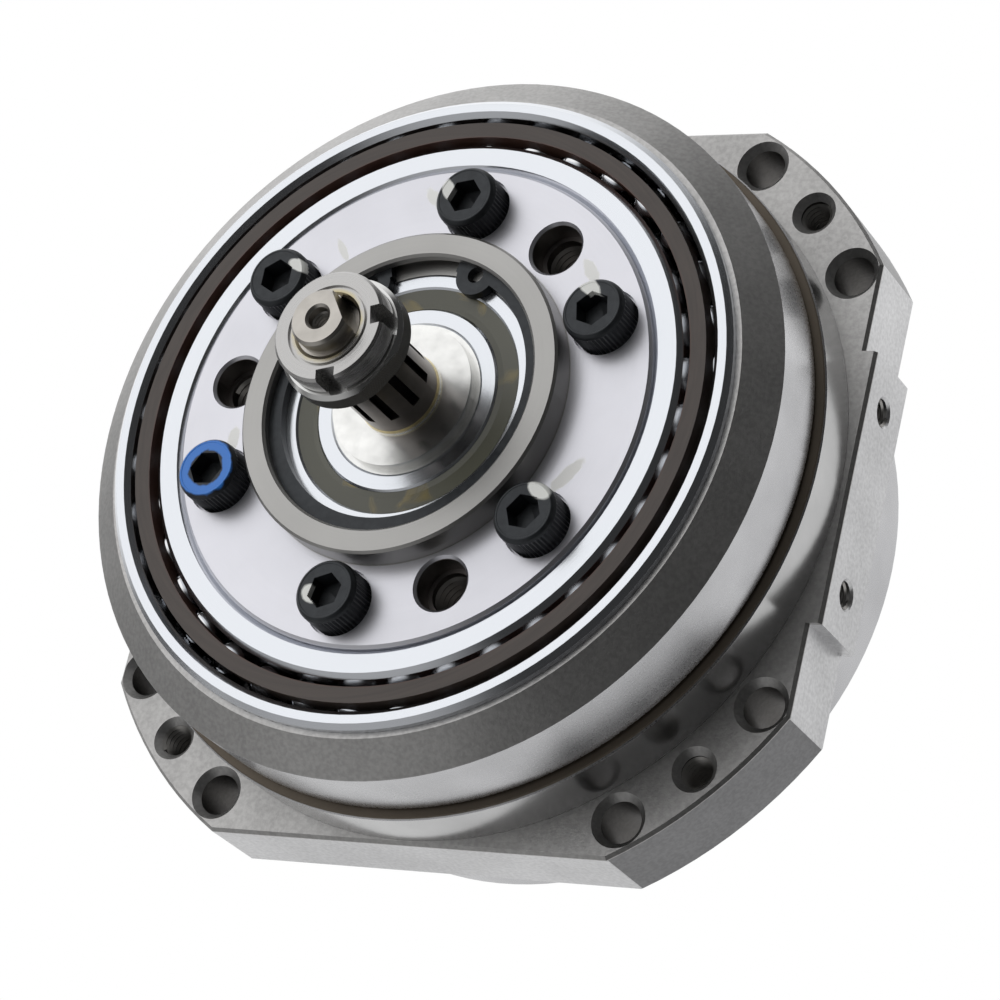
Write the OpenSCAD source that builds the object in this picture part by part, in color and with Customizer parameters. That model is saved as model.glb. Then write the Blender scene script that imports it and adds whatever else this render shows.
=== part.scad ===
// Cycloidal reducer with a flanged case, seen with its input shaft up.
// The origin is on the axis, at the rear face of the case. +Z runs towards the input shaft.

/* [Case] */
// Diameter of the round rear register behind the flange
register_d = 111.4; // [110:0.2:114]
// Depth of the rear register, from the rear face to the flange
register_h = 20; // [17:0.5:22]
// Diameter of the flange across its bolt lobes
flange_d = 139.8; // [139:0.2:146]
// Thickness of the flange
flange_t = 13; // [10:0.5:15]
// Chamfer round the front edge of the flange
flange_edge = 0.5; // [0.2:0.1:1]
// Distance between the two flats without pads
flat_w = 121.4; // [119:0.2:124]
// Distance between the two flats that carry pads, beside the pads
pad_flat_w = 118.6; // [117:0.2:120]
// How far each pad stands out of its flat
pad_h = 2; // [1:0.1:4]
// Width of each pad
pad_w = 44.4; // [40:0.2:50]
// Diameter of the turned case just in front of the flange
rear_barrel_d = 120; // [118:0.5:124]
// Diameter of the front register of the case
front_barrel_d = 117; // [114:0.5:119]
// Length of the turned case from the flange to the relief groove
rear_barrel_h = 9; // [7:0.5:12]
// Width of the relief groove
relief_w = 0.4; // [0.3:0.1:1.6]
// Depth of the relief groove
relief_depth = 0.6; // [0.3:0.1:1.5]
// Height of the cone on the front rim
rim_cone_h = 4; // [2:0.5:6]

/* [Flange holes] */
// Pitch circle of the flange bolts
flange_pcd = 130; // [128:0.5:132]
// Angle between neighbouring holes of one lobe
lobe_pitch = 12; // [10:0.5:14]
// Diameter of the bolt clearance holes
flange_hole_d = 6.6; // [5:0.1:8]
// Diameter of the tapped middle holes, at the thread crests
jack_hole_d = 5.1; // [4:0.1:7]
// Depth of the chamfer at each hole's mouth
mouth_chamfer = 1.1; // [0.3:0.1:1.5]
// Distance between the two radial holes of a pad
pad_hole_pitch = 30; // [20:1:34]
// Diameter of the radial holes, at the thread crests
pad_hole_d = 4.2; // [3:0.1:5]
// Depth of the radial holes
pad_hole_depth = 7; // [4:0.5:7.5]

/* [Ring pins and cycloid discs] */
// Number of ring pins
ring_pin_count = 40; // [36:2:44]
// Pitch circle radius of the ring pins
ring_pin_r = 50; // [49.5:0.1:50.2]
// Diameter of a ring pin
ring_pin_d = 4; // [3:0.1:4.2]
// Eccentricity of the input shaft's cams
eccentricity = 1; // [0.6:0.1:1.1]
// Thickness of a cycloid disc
disc_t = 10.2; // [8:0.1:11]
// Gap between the two discs
disc_gap = 0.8; // [0.6:0.1:1.5]
// Running clearance between a disc's lobes and the ring pins
lobe_clearance = 0.12; // [0.08:0.01:0.2]

/* [Main bearings] */
// Bore of the main bearings
main_bore = 80; // [78:0.5:81]
// Outer diameter of the main bearings
main_od = 105; // [104.5:0.1:106]
// Width of the main bearings
main_w = 13; // [12:0.5:14]
// Ball diameter of the main bearings
main_ball_d = 7.14; // [6:0.01:7.2]
// Number of balls in a main bearing
main_ball_count = 36; // [24:1:38]

/* [Carrier] */
// Pitch circle diameter of the carrier bolts
carrier_pcd = 66; // [65:0.5:67]
// Number of carrier bolts and output rollers
carrier_bolts = 6; // [4:2:6]
// Turn of the carrier from the flange's flats at rest
carrier_turn = 24; // [0:1:59]
// Outer diameter of the raised hub
hub_d = 53.4; // [52:0.2:55]
// Height of the hub above the carrier's face
hub_h = 4.4; // [3:0.1:6]
// Diameter of the hub's mouth
hub_mouth_d = 46.2; // [45.6:0.2:47]
// Pitch circle diameter of the carrier's tapped holes
tapped_pcd = 64; // [62:0.5:66]
// Number of tapped holes in the carrier's face
tapped_count = 3; // [3:3:3]
// Diameter of the plain mouth of the tapped holes
tapped_mouth_d = 8.2; // [7:0.1:9]
// Diameter of the tapped holes, at the thread crests
tapped_d = 6.8; // [5:0.1:7]
// Outer diameter of the sleeves that space the two carrier halves
sleeve_d = 11; // [10:0.1:11.5]
// Outer diameter of the output rollers
roller_d = 15; // [14:0.1:15.6]
// Diameter of the output face that a driven part bolts to
output_face_d = 88; // [86:0.5:90]
// Number of tapped holes in the output face
output_count = 6; // [6:6:6]
// Pitch circle of those holes
output_pcd = 70; // [69:0.5:72]
// Tap hole diameter of those holes
output_hole_d = 5; // [4:0.1:5.2]

/* [Input shaft] */
// Bore of the two shaft bearings
shaft_bore = 25; // [24:0.5:26]
// Outer diameter of the two shaft bearings
shaft_od = 42; // [41:0.5:42.4]
// Width of the shaft bearings
shaft_w = 9; // [8:0.5:10]
// Ball diameter of the shaft bearings
shaft_ball_d = 4.76; // [4:0.01:5]
// Number of balls in a shaft bearing
shaft_ball_count = 15; // [10:1:17]
// Diameter of the eccentric cams
cam_d = 29; // [28.4:0.1:29.6]
// Diameter of the cams' needle rollers
needle_d = 3; // [2.5:0.1:3.2]
// Number of needle rollers round each cam
needle_count = 24; // [12:1:26]
// Diameter of the polished disc at the root of the shaft
root_disc_d = 23.4; // [20:0.2:24]
// Diameter over the splines
spline_d = 13; // [12:0.1:14]
// Number of spline slots
spline_slots = 10; // [6:1:12]
// Width of a spline slot
spline_slot_w = 1.5; // [1:0.1:2]
// Diameter of the collar behind the lock nut
collar_d = 20; // [18:0.5:22]
// Distance across the collar's wrench flats
collar_flats = 18.4; // [17:0.1:20]
// Thread diameter of the lock nut
nut_thread_d = 10; // [9:0.5:11]
// Outer diameter of the lock nut
nut_d = 18; // [16:0.5:20]
// Thickness of the lock nut
nut_t = 4; // [3:0.5:5]

/* [Screws] */
// Thread diameter of the carrier bolts
bolt_d = 6; // [5:0.5:6.5]
// Depth of the seats that the heads of the carrier bolts are sunk in
bolt_seat_depth = 1.3; // [0.5:0.1:2]

/* [Retaining rings] */
// Thickness of the ring that holds the front bearing of the shaft
front_snap_t = 1.5; // [1.2:0.05:1.75]
// Thickness of the ring that holds the rear bearing of the shaft
rear_snap_t = 1.1; // [0.9:0.05:1.3]
// Depth of the grooves that the rings spring into
snap_groove_depth = 1.2; // [0.8:0.1:1.4]
// Direction of the front ring's gap, from the +X axis
snap_gap_turn = 94; // [0:1:360]

/* [Hidden] */

$fn = 96;

// Fits: a seat is a light fit, a running fit turns, and eps lets cuts run past a face.
seat_fit = 0.02;
running_fit = 0.05;
eps = 0.5;
face_gap = 0.2;
side_gap = 0.5;

// Colours of the finishes
steel = [0.80, 0.80, 0.82];
bright_steel = [0.88, 0.89, 0.92];
case_grey = [0.66, 0.65, 0.62];
cage_brown = [0.35, 0.29, 0.26];
black_oxide = [0.16, 0.16, 0.17];
rubber_olive = [0.33, 0.32, 0.26];
bronze = [0.62, 0.50, 0.32];

// Heights, from the rear face up
seal_z = 0.8;
seal_h = 8;
main_rear_z = 10.5;
main_rear_top = main_rear_z + main_w;
rear_carrier_top = main_rear_top + side_gap;
disc_rear_z = rear_carrier_top + side_gap;
disc_front_z = disc_rear_z + disc_t + disc_gap;
discs_top = disc_front_z + disc_t;
front_carrier_z = discs_top + side_gap;
shoulder_t = 0.8;
main_front_z = front_carrier_z + shoulder_t;
main_front_top = main_front_z + main_w;
ring_proud = 1.8;
carrier_proud = 0.3;
bearing_recess = 3.2;
case_top = main_front_top - ring_proud;
flange_top = register_h + flange_t;
relief_z = flange_top + rear_barrel_h;
carrier_face_z = main_front_top + carrier_proud;
hub_top = carrier_face_z + hub_h;
shaft_front_top = hub_top - bearing_recess;
shaft_front_z = shaft_front_top - shaft_w;
shaft_rear_z = 9.2;
shaft_rear_top = shaft_rear_z + shaft_w;

// Input shaft heights
root_disc_h = 1.6;
neck_h = 3.9;
spline_h = 11.4;
collar_h = 3.7;
stub_h = 3;
root_disc_top = shaft_front_top + root_disc_h;
spline_base_z = root_disc_top + neck_h;
collar_z = spline_base_z + spline_h;
nut_z = collar_z + collar_h;
nut_top = nut_z + nut_t;
shaft_tip = nut_top + stub_h;

// Radii in the case
seat_r = main_od / 2;
mid_bore_r = ring_pin_r + 0.3;
spline_r = spline_d / 2;
cam_r = cam_d / 2;
disc_bore_r = cam_r + needle_d;
needle_pitch_r = cam_r + needle_d / 2;
roller_r = roller_d / 2;
disc_hole_r = roller_r + eccentricity + 0.1;
carrier_r = main_bore / 2;
carrier_bolt_r = carrier_pcd / 2;
lobe_count = ring_pin_count - 1;

// One ring with a square section
module ring(outer_r, inner_r, z, h) {
    translate([0, 0, z]) difference() {
        cylinder(h = h, r = outer_r);
        translate([0, 0, -eps]) cylinder(h = h + 2 * eps, r = inner_r);
    }
}

// Puts copies round the axis on a circle
module on_circle(count, r, turn = 0) {
    for (i = [0 : count - 1])
        rotate([0, 0, turn + i * 360 / count]) translate([r, 0, 0]) children();
}

// A hole with a chamfered mouth at height top, drilled down by depth
module chamfered_hole(r, top, depth, chamfer) {
    translate([0, 0, top - depth]) cylinder(h = depth + eps, r = r);
    translate([0, 0, top - chamfer]) cylinder(h = chamfer + eps, r1 = r, r2 = r + chamfer + eps);
}

// ---- Case ----

lobes = 4;

// A block on z = 0 with two of its top edges chamfered, w wide along X and l long along Y
module flange_block(w, l) {
    translate([0, l / 2, 0]) rotate([90, 0, 0]) linear_extrude(l)
        polygon([[-w / 2, 0], [w / 2, 0], [w / 2, flange_t - flange_edge],
            [w / 2 - flange_edge, flange_t], [flange_edge - w / 2, flange_t],
            [-w / 2, flange_t - flange_edge]]);
}

// The flange: a turned disc cut by four flats, two of which carry a pad
module flange() {
    r = flange_d / 2;
    translate([0, 0, register_h]) intersection() {
        rotate_extrude($fn = 180)
            polygon([[0, 0], [r, 0], [r, flange_t - flange_edge],
                [r - flange_edge, flange_t], [0, flange_t]]);
        union() {
            intersection() {
                flange_block(pad_flat_w, flange_d);
                rotate([0, 0, 90]) flange_block(flat_w, flange_d);
            }
            flange_block(pad_flat_w + 2 * pad_h, pad_w);
        }
    }
}

// The turned body of the case: register, barrels, relief groove and rim cone
module case_profile() {
    front_r = front_barrel_d / 2;
    rear_r = rear_barrel_d / 2;
    lead_in = 1;
    edge = 0.4;
    rim_w = 0.9;
    polygon([
        [0, 0], [register_d / 2 - lead_in, 0], [register_d / 2, lead_in],
        [register_d / 2, register_h + eps], [rear_r, register_h + eps],
        [rear_r, relief_z - edge], [rear_r - edge, relief_z],
        [front_r - relief_depth, relief_z], [front_r - relief_depth, relief_z + relief_w],
        [front_r, relief_z + relief_w + edge], [front_r, case_top - rim_cone_h],
        [seat_r + rim_w, case_top], [0, case_top]
    ]);
}

// Three holes of one lobe: two clearance holes and a tapped one between them
module lobe_holes(turn) {
    for (side = [-1, 1])
        rotate([0, 0, turn + side * lobe_pitch]) translate([flange_pcd / 2, 0, 0]) {
            chamfered_hole(flange_hole_d / 2, flange_top, flange_t + eps, mouth_chamfer);
        }
    rotate([0, 0, turn]) translate([flange_pcd / 2, 0, 0])
        chamfered_hole(jack_hole_d / 2, flange_top, flange_t + eps, mouth_chamfer);
}

// The two radial tapped holes of a pad
module pad_holes() {
    pad_face = pad_flat_w / 2 + pad_h;
    for (side = [-1, 1])
        translate([pad_face, side * pad_hole_pitch / 2, register_h + flange_t / 2])
            rotate([0, 90, 0]) chamfered_hole(pad_hole_d / 2, 0, pad_hole_depth, 0.4);
}

module case() {
    color(case_grey) difference() {
        union() {
            rotate_extrude($fn = 180) case_profile();
            flange();
        }
        translate([0, 0, main_rear_top - eps])
            cylinder(h = main_front_z - main_rear_top + 2 * eps, r = mid_bore_r);
        translate([0, 0, -eps]) cylinder(h = main_rear_top + eps, r = seat_r + seat_fit);
        translate([0, 0, main_front_z]) cylinder(h = main_w + eps, r = seat_r + seat_fit);
        on_circle(ring_pin_count, ring_pin_r) translate([0, 0, main_rear_z])
            cylinder(h = main_front_top, r = ring_pin_d / 2 + seat_fit, $fn = 32);
        for (lobe = [0 : lobes - 1]) lobe_holes((lobe + 0.5) * 360 / lobes);
        for (turn = [0, 180]) rotate([0, 0, turn]) pad_holes();
    }
}

// Rollers that stand in the case's grooves, with rounded edges
module ring_pins() {
    pin_h = main_front_z - main_rear_top - 2 * face_gap;
    pin_r = ring_pin_d / 2;
    edge = 0.3;
    color(bright_steel) on_circle(ring_pin_count, ring_pin_r)
        translate([0, 0, main_rear_top + face_gap]) rotate_extrude($fn = 32)
            polygon([[0, 0], [pin_r - edge, 0], [pin_r, edge],
                [pin_r, pin_h - edge], [pin_r - edge, pin_h], [0, pin_h]]);
}

// ---- Ball bearings ----

// Section of a bearing ring from r1 to r2 with a ball groove and broken edges
module ring_section(r1, r2, w, ball_d, pitch_r, edge) {
    difference() {
        polygon([[r1 + edge, 0], [r2 - edge, 0], [r2, edge], [r2, w - edge],
            [r2 - edge, w], [r1 + edge, w], [r1, w - edge], [r1, edge]]);
        translate([pitch_r, w / 2]) circle(r = ball_d / 2 + running_fit, $fn = 48);
    }
}

module bearing_ring(r1, r2, w, ball_d, pitch_r, z, edge) {
    translate([0, 0, z]) rotate_extrude($fn = 120) ring_section(r1, r2, w, ball_d, pitch_r, edge);
}

module ball_row(count, ball_d, pitch_r, z) {
    on_circle(count, pitch_r) translate([0, 0, z]) sphere(r = ball_d / 2, $fn = 24);
}

// A cage ring with a round pocket for each ball
module pocket_cage(r1, r2, z, h, count, ball_d, pitch_r) {
    difference() {
        ring(r2, r1, z, h);
        on_circle(count, pitch_r) translate([-ball_d, 0, z + h / 2])
            rotate([0, 90, 0]) cylinder(h = 2 * ball_d, r = ball_d / 2 + 0.1, $fn = 24);
    }
}

pitch_offset = 0.5;
inner_land = 2.2;
outer_land = 2.8;
cage_inside = 0.9;
cage_outside = 1.65;
cage_recess = 0.2;
main_ring_edge = 0.8;
main_pitch_r = (main_bore + main_od) / 4 + pitch_offset;
main_inner_r = main_pitch_r - inner_land;
main_outer_r = main_pitch_r + outer_land;
cage_inner_r = main_pitch_r - cage_inside;
cage_outer_r = main_pitch_r + cage_outside;

module main_outer_ring(z) {
    color(bright_steel)
        bearing_ring(main_outer_r, seat_r, main_w, main_ball_d, main_pitch_r, z, main_ring_edge);
}

module main_inner_ring(z) {
    color(bright_steel)
        bearing_ring(carrier_r, main_inner_r, main_w, main_ball_d, main_pitch_r, z, main_ring_edge);
}

module main_balls(z) {
    color(steel) ball_row(main_ball_count, main_ball_d, main_pitch_r, z + main_w / 2);
}

module main_cage(z) {
    color(cage_brown) pocket_cage(cage_inner_r, cage_outer_r, z + cage_recess,
        main_w - 2 * cage_recess, main_ball_count, main_ball_d, main_pitch_r);
}

module main_outer_ring_front() main_outer_ring(main_front_z);
module main_outer_ring_rear() main_outer_ring(main_rear_z);
module main_inner_ring_front() main_inner_ring(main_front_z);
module main_inner_ring_rear() main_inner_ring(main_rear_z);
module main_balls_front() main_balls(main_front_z);
module main_balls_rear() main_balls(main_rear_z);
module main_cage_front() main_cage(main_front_z);
module main_cage_rear() main_cage(main_rear_z);

// ---- Output oil seal ----

// The section fills the room between the lip and the case's bore, so its walls are shares of that room
seal_lip_r = output_face_d / 2 + running_fit;
seal_room = seat_r - seal_lip_r;
seal_wall = seal_room / 6;
lip_t = 0.19 * seal_room;
lip_base = 0.31 * seal_room;
spring_r = seal_room / 12;
spring_place = 0.3 * seal_room;
spring_z = seal_z + 0.75 * seal_h;

module output_oil_seal() {
    edge = 0.4;
    lip_lean = 0.05 * seal_room;
    color(rubber_olive) translate([0, 0, seal_z]) rotate_extrude($fn = 120) difference() {
        polygon([[seat_r, edge], [seat_r, seal_h], [seat_r - seal_wall, seal_h],
            [seat_r - seal_wall, seal_wall], [seal_lip_r + lip_base, seal_wall],
            [seal_lip_r + lip_t, 0.85 * seal_h], [seal_lip_r, 0.75 * seal_h],
            [seal_lip_r + lip_lean, seal_wall / 2], [seal_lip_r + lip_lean, 0], [seat_r - edge, 0]]);
        translate([seal_lip_r + spring_place, spring_z - seal_z])
            circle(r = spring_r + running_fit, $fn = 24);
    }
}

// Garter spring that presses the seal's lip on the output face's rim
module seal_garter_spring() {
    color(steel) translate([0, 0, spring_z]) rotate_extrude($fn = 120)
        translate([seal_lip_r + spring_place, 0]) circle(r = spring_r, $fn = 24);
}

// ---- Carrier ----

bolt_head_d = bolt_d * 1.7;
bolt_head_h = bolt_d;
bolt_key = bolt_d / 1.2;
bolt_hole_r = bolt_d / 2 + 0.2;
bolt_seat_play = 0.35;
bolt_seat_r = bolt_head_d / 2 + bolt_seat_play;
bolt_seat_z = carrier_face_z - bolt_seat_depth;
sleeve_r = sleeve_d / 2;
sleeve_seat = 4;
bolt_length = 50;
bolt_end_z = bolt_seat_z - bolt_length;
half_bolt_step = 180 / carrier_bolts;
output_hole_depth = 10;

// A socket head cap screw that points down, with its head standing on z = 0
module cap_screw(d, length, head_d, head_h, key) {
    edge = 0.4;
    difference() {
        union() {
            cylinder(h = head_h - edge, r = head_d / 2, $fn = 48);
            translate([0, 0, head_h - edge])
                cylinder(h = edge, r1 = head_d / 2, r2 = head_d / 2 - edge, $fn = 48);
            translate([0, 0, -length]) cylinder(h = length + eps, r = d / 2, $fn = 32);
        }
        translate([0, 0, head_h / 2]) linear_extrude(head_h) circle(d = key / cos(30), $fn = 6);
    }
}

module sleeve_seats(z) {
    on_circle(carrier_bolts, carrier_bolt_r, carrier_turn)
        translate([0, 0, z]) cylinder(h = sleeve_seat + eps, r = sleeve_r + seat_fit, $fn = 48);
}

tapped_depth = 12;
tapped_mouth_depth = 4;
hub_edge = 0.4;
hub_mouth_chamfer = 0.4;
snap_play = 0.1;
hub_inner_r = hub_mouth_d / 2 - hub_mouth_chamfer;
bearing_shoulder = 2.5;
bearing_lip = 1;
shaft_seat_r = shaft_od / 2;
shaft_shoulder_r = shaft_seat_r - bearing_shoulder;

// Stepped bore of the front half: shoulder, bearing seat, ring groove and chamfered mouth
module hub_bore() {
    rotate_extrude() polygon([
        [0, front_carrier_z - eps], [shaft_shoulder_r, front_carrier_z - eps],
        [shaft_shoulder_r, shaft_front_z], [shaft_seat_r + seat_fit, shaft_front_z],
        [shaft_seat_r + seat_fit, shaft_front_top], [hub_inner_r + snap_groove_depth, shaft_front_top],
        [hub_inner_r + snap_groove_depth, shaft_front_top + front_snap_t + snap_play],
        [hub_inner_r, shaft_front_top + front_snap_t + snap_play],
        [hub_inner_r, hub_top - hub_mouth_chamfer],
        [hub_mouth_d / 2 + eps, hub_top + eps], [0, hub_top + eps]
    ]);
}

module front_carrier() {
    edge = 0.5;
    color(steel) difference() {
        union() {
            translate([0, 0, main_front_z])
                cylinder(h = carrier_face_z - main_front_z - edge, r = carrier_r - seat_fit);
            translate([0, 0, carrier_face_z - edge])
                cylinder(h = edge, r1 = carrier_r - seat_fit, r2 = carrier_r - edge);
            translate([0, 0, front_carrier_z]) cylinder(h = shoulder_t, r = main_inner_r - bearing_lip);
            translate([0, 0, carrier_face_z - eps]) cylinder(h = hub_h + eps - hub_edge, r = hub_d / 2);
            translate([0, 0, hub_top - hub_edge])
                cylinder(h = hub_edge, r1 = hub_d / 2, r2 = hub_d / 2 - hub_edge);
        }
        hub_bore();
        sleeve_seats(front_carrier_z - eps);
        on_circle(carrier_bolts, carrier_bolt_r, carrier_turn) {
            translate([0, 0, front_carrier_z]) cylinder(h = main_w + hub_h, r = bolt_hole_r, $fn = 32);
            translate([0, 0, bolt_seat_z])
                cylinder(h = bolt_seat_depth + eps, r = bolt_seat_r, $fn = 48);
        }
        on_circle(tapped_count, tapped_pcd / 2, carrier_turn + half_bolt_step) {
            chamfered_hole(tapped_mouth_d / 2, carrier_face_z, tapped_mouth_depth, edge);
            translate([0, 0, carrier_face_z - tapped_depth])
                cylinder(h = tapped_depth + eps, r = tapped_d / 2);
        }
    }
}

module rear_carrier() {
    flange_h = main_rear_z - face_gap - seal_z;
    edge = 0.5;
    color(steel) difference() {
        union() {
            translate([0, 0, main_rear_z - face_gap])
                cylinder(h = rear_carrier_top - main_rear_z + face_gap, r = carrier_r - seat_fit);
            translate([0, 0, seal_z + edge]) cylinder(h = flange_h - edge, r = output_face_d / 2);
            translate([0, 0, seal_z])
                cylinder(h = edge, r1 = output_face_d / 2 - edge, r2 = output_face_d / 2);
        }
        translate([0, 0, seal_z - eps])
            cylinder(h = shaft_rear_top - seal_z + eps, r = shaft_seat_r + seat_fit);
        translate([0, 0, seal_z]) cylinder(h = rear_carrier_top, r = shaft_shoulder_r);
        ring(shaft_seat_r + snap_groove_depth, shaft_seat_r - 1,
            shaft_rear_z - rear_snap_t - 2 * snap_play, rear_snap_t + 2 * snap_play);
        translate([0, 0, rear_carrier_top - sleeve_seat]) sleeve_seats(0);
        on_circle(carrier_bolts, carrier_bolt_r, carrier_turn)
            translate([0, 0, bolt_end_z - eps])
                cylinder(h = rear_carrier_top, r = bolt_d / 2 + seat_fit, $fn = 32);
        on_circle(output_count, output_pcd / 2, carrier_turn + half_bolt_step)
            translate([0, 0, seal_z - eps])
                cylinder(h = output_hole_depth + eps, r = output_hole_d / 2, $fn = 32);
    }
}

module carrier_sleeves() {
    sleeve_h = front_carrier_z - rear_carrier_top + 2 * (sleeve_seat - face_gap);
    color(bright_steel) on_circle(carrier_bolts, carrier_bolt_r, carrier_turn)
        ring(sleeve_r, bolt_hole_r, rear_carrier_top - sleeve_seat + face_gap, sleeve_h);
}

module carrier_bolt_set() {
    color(black_oxide) on_circle(carrier_bolts, carrier_bolt_r, carrier_turn)
        translate([0, 0, bolt_seat_z])
            cap_screw(bolt_d, bolt_length, bolt_head_d, bolt_head_h, bolt_key);
}

module output_roller(index) {
    h = front_carrier_z - rear_carrier_top - 2 * face_gap;
    rotate([0, 0, carrier_turn + index * 360 / carrier_bolts]) translate([carrier_bolt_r, 0, 0])
        color(bright_steel) ring(roller_r, sleeve_r + running_fit, rear_carrier_top + face_gap, h);
}

module output_roller_1() output_roller(0);
module output_roller_2() output_roller(1);
module output_roller_3() output_roller(2);
module output_roller_4() output_roller(3);
module output_roller_5() output_roller(4);
module output_roller_6() output_roller(5);

// ---- Cycloid discs ----

// Points per lobe of the disc's outline, drawn closer in the valleys, where the outline turns faster
lobe_steps = 14;
lobe_bunching = eccentricity * ring_pin_count / ring_pin_r;
disc_steps = lobe_count * lobe_steps;
cut_r = ring_pin_d / 2 + lobe_clearance;

// Path of a ring pin's centre seen from the disc, with the cam turned by t
function pin_path(t) = let (a = t / lobe_count)
    [ring_pin_r * cos(a) - eccentricity * cos(t + a), ring_pin_r * sin(a) - eccentricity * sin(t + a)];

// Direction of that path
function pin_way(t) = let (a = t / lobe_count, d = ring_pin_r / lobe_count,
    k = eccentricity * ring_pin_count / lobe_count)
    [-d * sin(a) + k * sin(t + a), d * cos(a) - k * cos(t + a)];

// The disc's edge is the pin's path moved inwards by the pin's radius and the clearance
function disc_edge(t) = let (p = pin_path(t), w = pin_way(t), n = norm(w))
    [p[0] - cut_r * w[1] / n, p[1] + cut_r * w[0] / n];

// Cam angle at one point of the outline
function lobe_turn(i) = let (s = i * 360 / lobe_steps) s - lobe_bunching * sin(s) * 180 / PI;

module cycloid_disc(z) {
    difference() {
        translate([0, 0, z]) linear_extrude(disc_t)
            polygon([for (i = [0 : disc_steps - 1]) disc_edge(lobe_turn(i))]);
        translate([0, 0, z - eps]) cylinder(h = disc_t + 2 * eps, r = disc_bore_r);
        on_circle(carrier_bolts, carrier_bolt_r, carrier_turn)
            translate([0, 0, z - eps]) cylinder(h = disc_t + 2 * eps, r = disc_hole_r, $fn = 64);
    }
}

// The rear cam points along +X and the front cam along -X
module cycloid_disc_rear() {
    color(steel) translate([eccentricity, 0, 0]) cycloid_disc(disc_rear_z);
}

module cycloid_disc_front() {
    color(steel) rotate([0, 0, 180]) translate([eccentricity, 0, 0]) cycloid_disc(disc_front_z);
}

needle_clearance = 0.04;
needle_cage_wall = 0.7;
needle_inset = 0.8;
needle_play = 0.1;

module needles(z) {
    on_circle(needle_count, needle_pitch_r) translate([0, 0, z + needle_inset + needle_play])
        cylinder(h = disc_t - 2 * (needle_inset + needle_play),
                 r = needle_d / 2 - needle_clearance, $fn = 24);
}

module needle_cage(z) {
    difference() {
        ring(needle_pitch_r + needle_cage_wall, needle_pitch_r - needle_cage_wall,
            z + face_gap, disc_t - 2 * face_gap);
        on_circle(needle_count, needle_pitch_r) translate([0, 0, z + needle_inset])
            cylinder(h = disc_t - 2 * needle_inset, r = needle_d / 2, $fn = 24);
    }
}

module needles_rear() color(bright_steel) translate([eccentricity, 0, 0]) needles(disc_rear_z);
module needles_front() color(bright_steel) translate([-eccentricity, 0, 0]) needles(disc_front_z);
module needle_cage_rear() color(bronze) translate([eccentricity, 0, 0]) needle_cage(disc_rear_z);
module needle_cage_front() color(bronze) translate([-eccentricity, 0, 0]) needle_cage(disc_front_z);

// Thin washers beside and between the needle cages
shaft_neck_r = cam_r - eccentricity - 0.1;
washer_t = 0.4;
washer_play = 0.05;

module guide_washers() {
    color(steel) {
        ring(shaft_shoulder_r - side_gap, shaft_neck_r + seat_fit,
            disc_rear_z - washer_t - washer_play, washer_t);
        ring(disc_bore_r, shaft_neck_r + seat_fit,
            disc_rear_z + disc_t + (disc_gap - washer_t) / 2, washer_t);
        ring(shaft_shoulder_r - side_gap, shaft_neck_r + seat_fit, discs_top + washer_play, washer_t);
    }
}

// ---- Shaft bearings ----

shaft_pitch_r = (shaft_bore + shaft_od) / 4;
shaft_ring_room = (shaft_od - shaft_bore) / 2;
shaft_ring_edge = 0.3;
shaft_cage_wall = 0.6;
shaft_cage_inset = 1.6;
shaft_land_in = shaft_pitch_r - 0.176 * shaft_ring_room;
shaft_land_out = shaft_pitch_r + 0.224 * shaft_ring_room;

module shaft_outer_ring(z) {
    color(bright_steel)
        bearing_ring(shaft_land_out, shaft_seat_r, shaft_w,
                     shaft_ball_d, shaft_pitch_r, z, shaft_ring_edge);
}

module shaft_inner_ring(z) {
    color(bright_steel)
        bearing_ring(shaft_bore / 2, shaft_land_in, shaft_w,
                     shaft_ball_d, shaft_pitch_r, z, shaft_ring_edge);
}

module shaft_balls(z) {
    color(steel) ball_row(shaft_ball_count, shaft_ball_d, shaft_pitch_r, z + shaft_w / 2);
}

module shaft_cage(z) {
    color(bronze) pocket_cage(shaft_pitch_r - shaft_cage_wall, shaft_pitch_r + shaft_cage_wall,
        z + shaft_cage_inset, shaft_w - 2 * shaft_cage_inset,
        shaft_ball_count, shaft_ball_d, shaft_pitch_r);
}

module shaft_outer_ring_front() shaft_outer_ring(shaft_front_z);
module shaft_outer_ring_rear() shaft_outer_ring(shaft_rear_z);
module shaft_inner_ring_front() shaft_inner_ring(shaft_front_z);
module shaft_inner_ring_rear() shaft_inner_ring(shaft_rear_z);
module shaft_balls_front() shaft_balls(shaft_front_z);
module shaft_balls_rear() shaft_balls(shaft_rear_z);
module shaft_cage_front() shaft_cage(shaft_front_z);
module shaft_cage_rear() shaft_cage(shaft_rear_z);

// Rubber contact seal in the front bearing, held by the outer ring's land
module shaft_seal() {
    t = 1;
    recess = 0.3;
    dish = 0.2;
    lip_w = 0.9;
    color(rubber_olive) translate([0, 0, shaft_front_top - recess - t]) rotate_extrude($fn = 120)
        polygon([[shaft_land_in + running_fit, dish], [shaft_land_out - seat_fit, 0],
            [shaft_land_out - seat_fit, t], [shaft_land_in + lip_w, t - dish],
            [shaft_land_in + running_fit, t]]);
}

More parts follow.
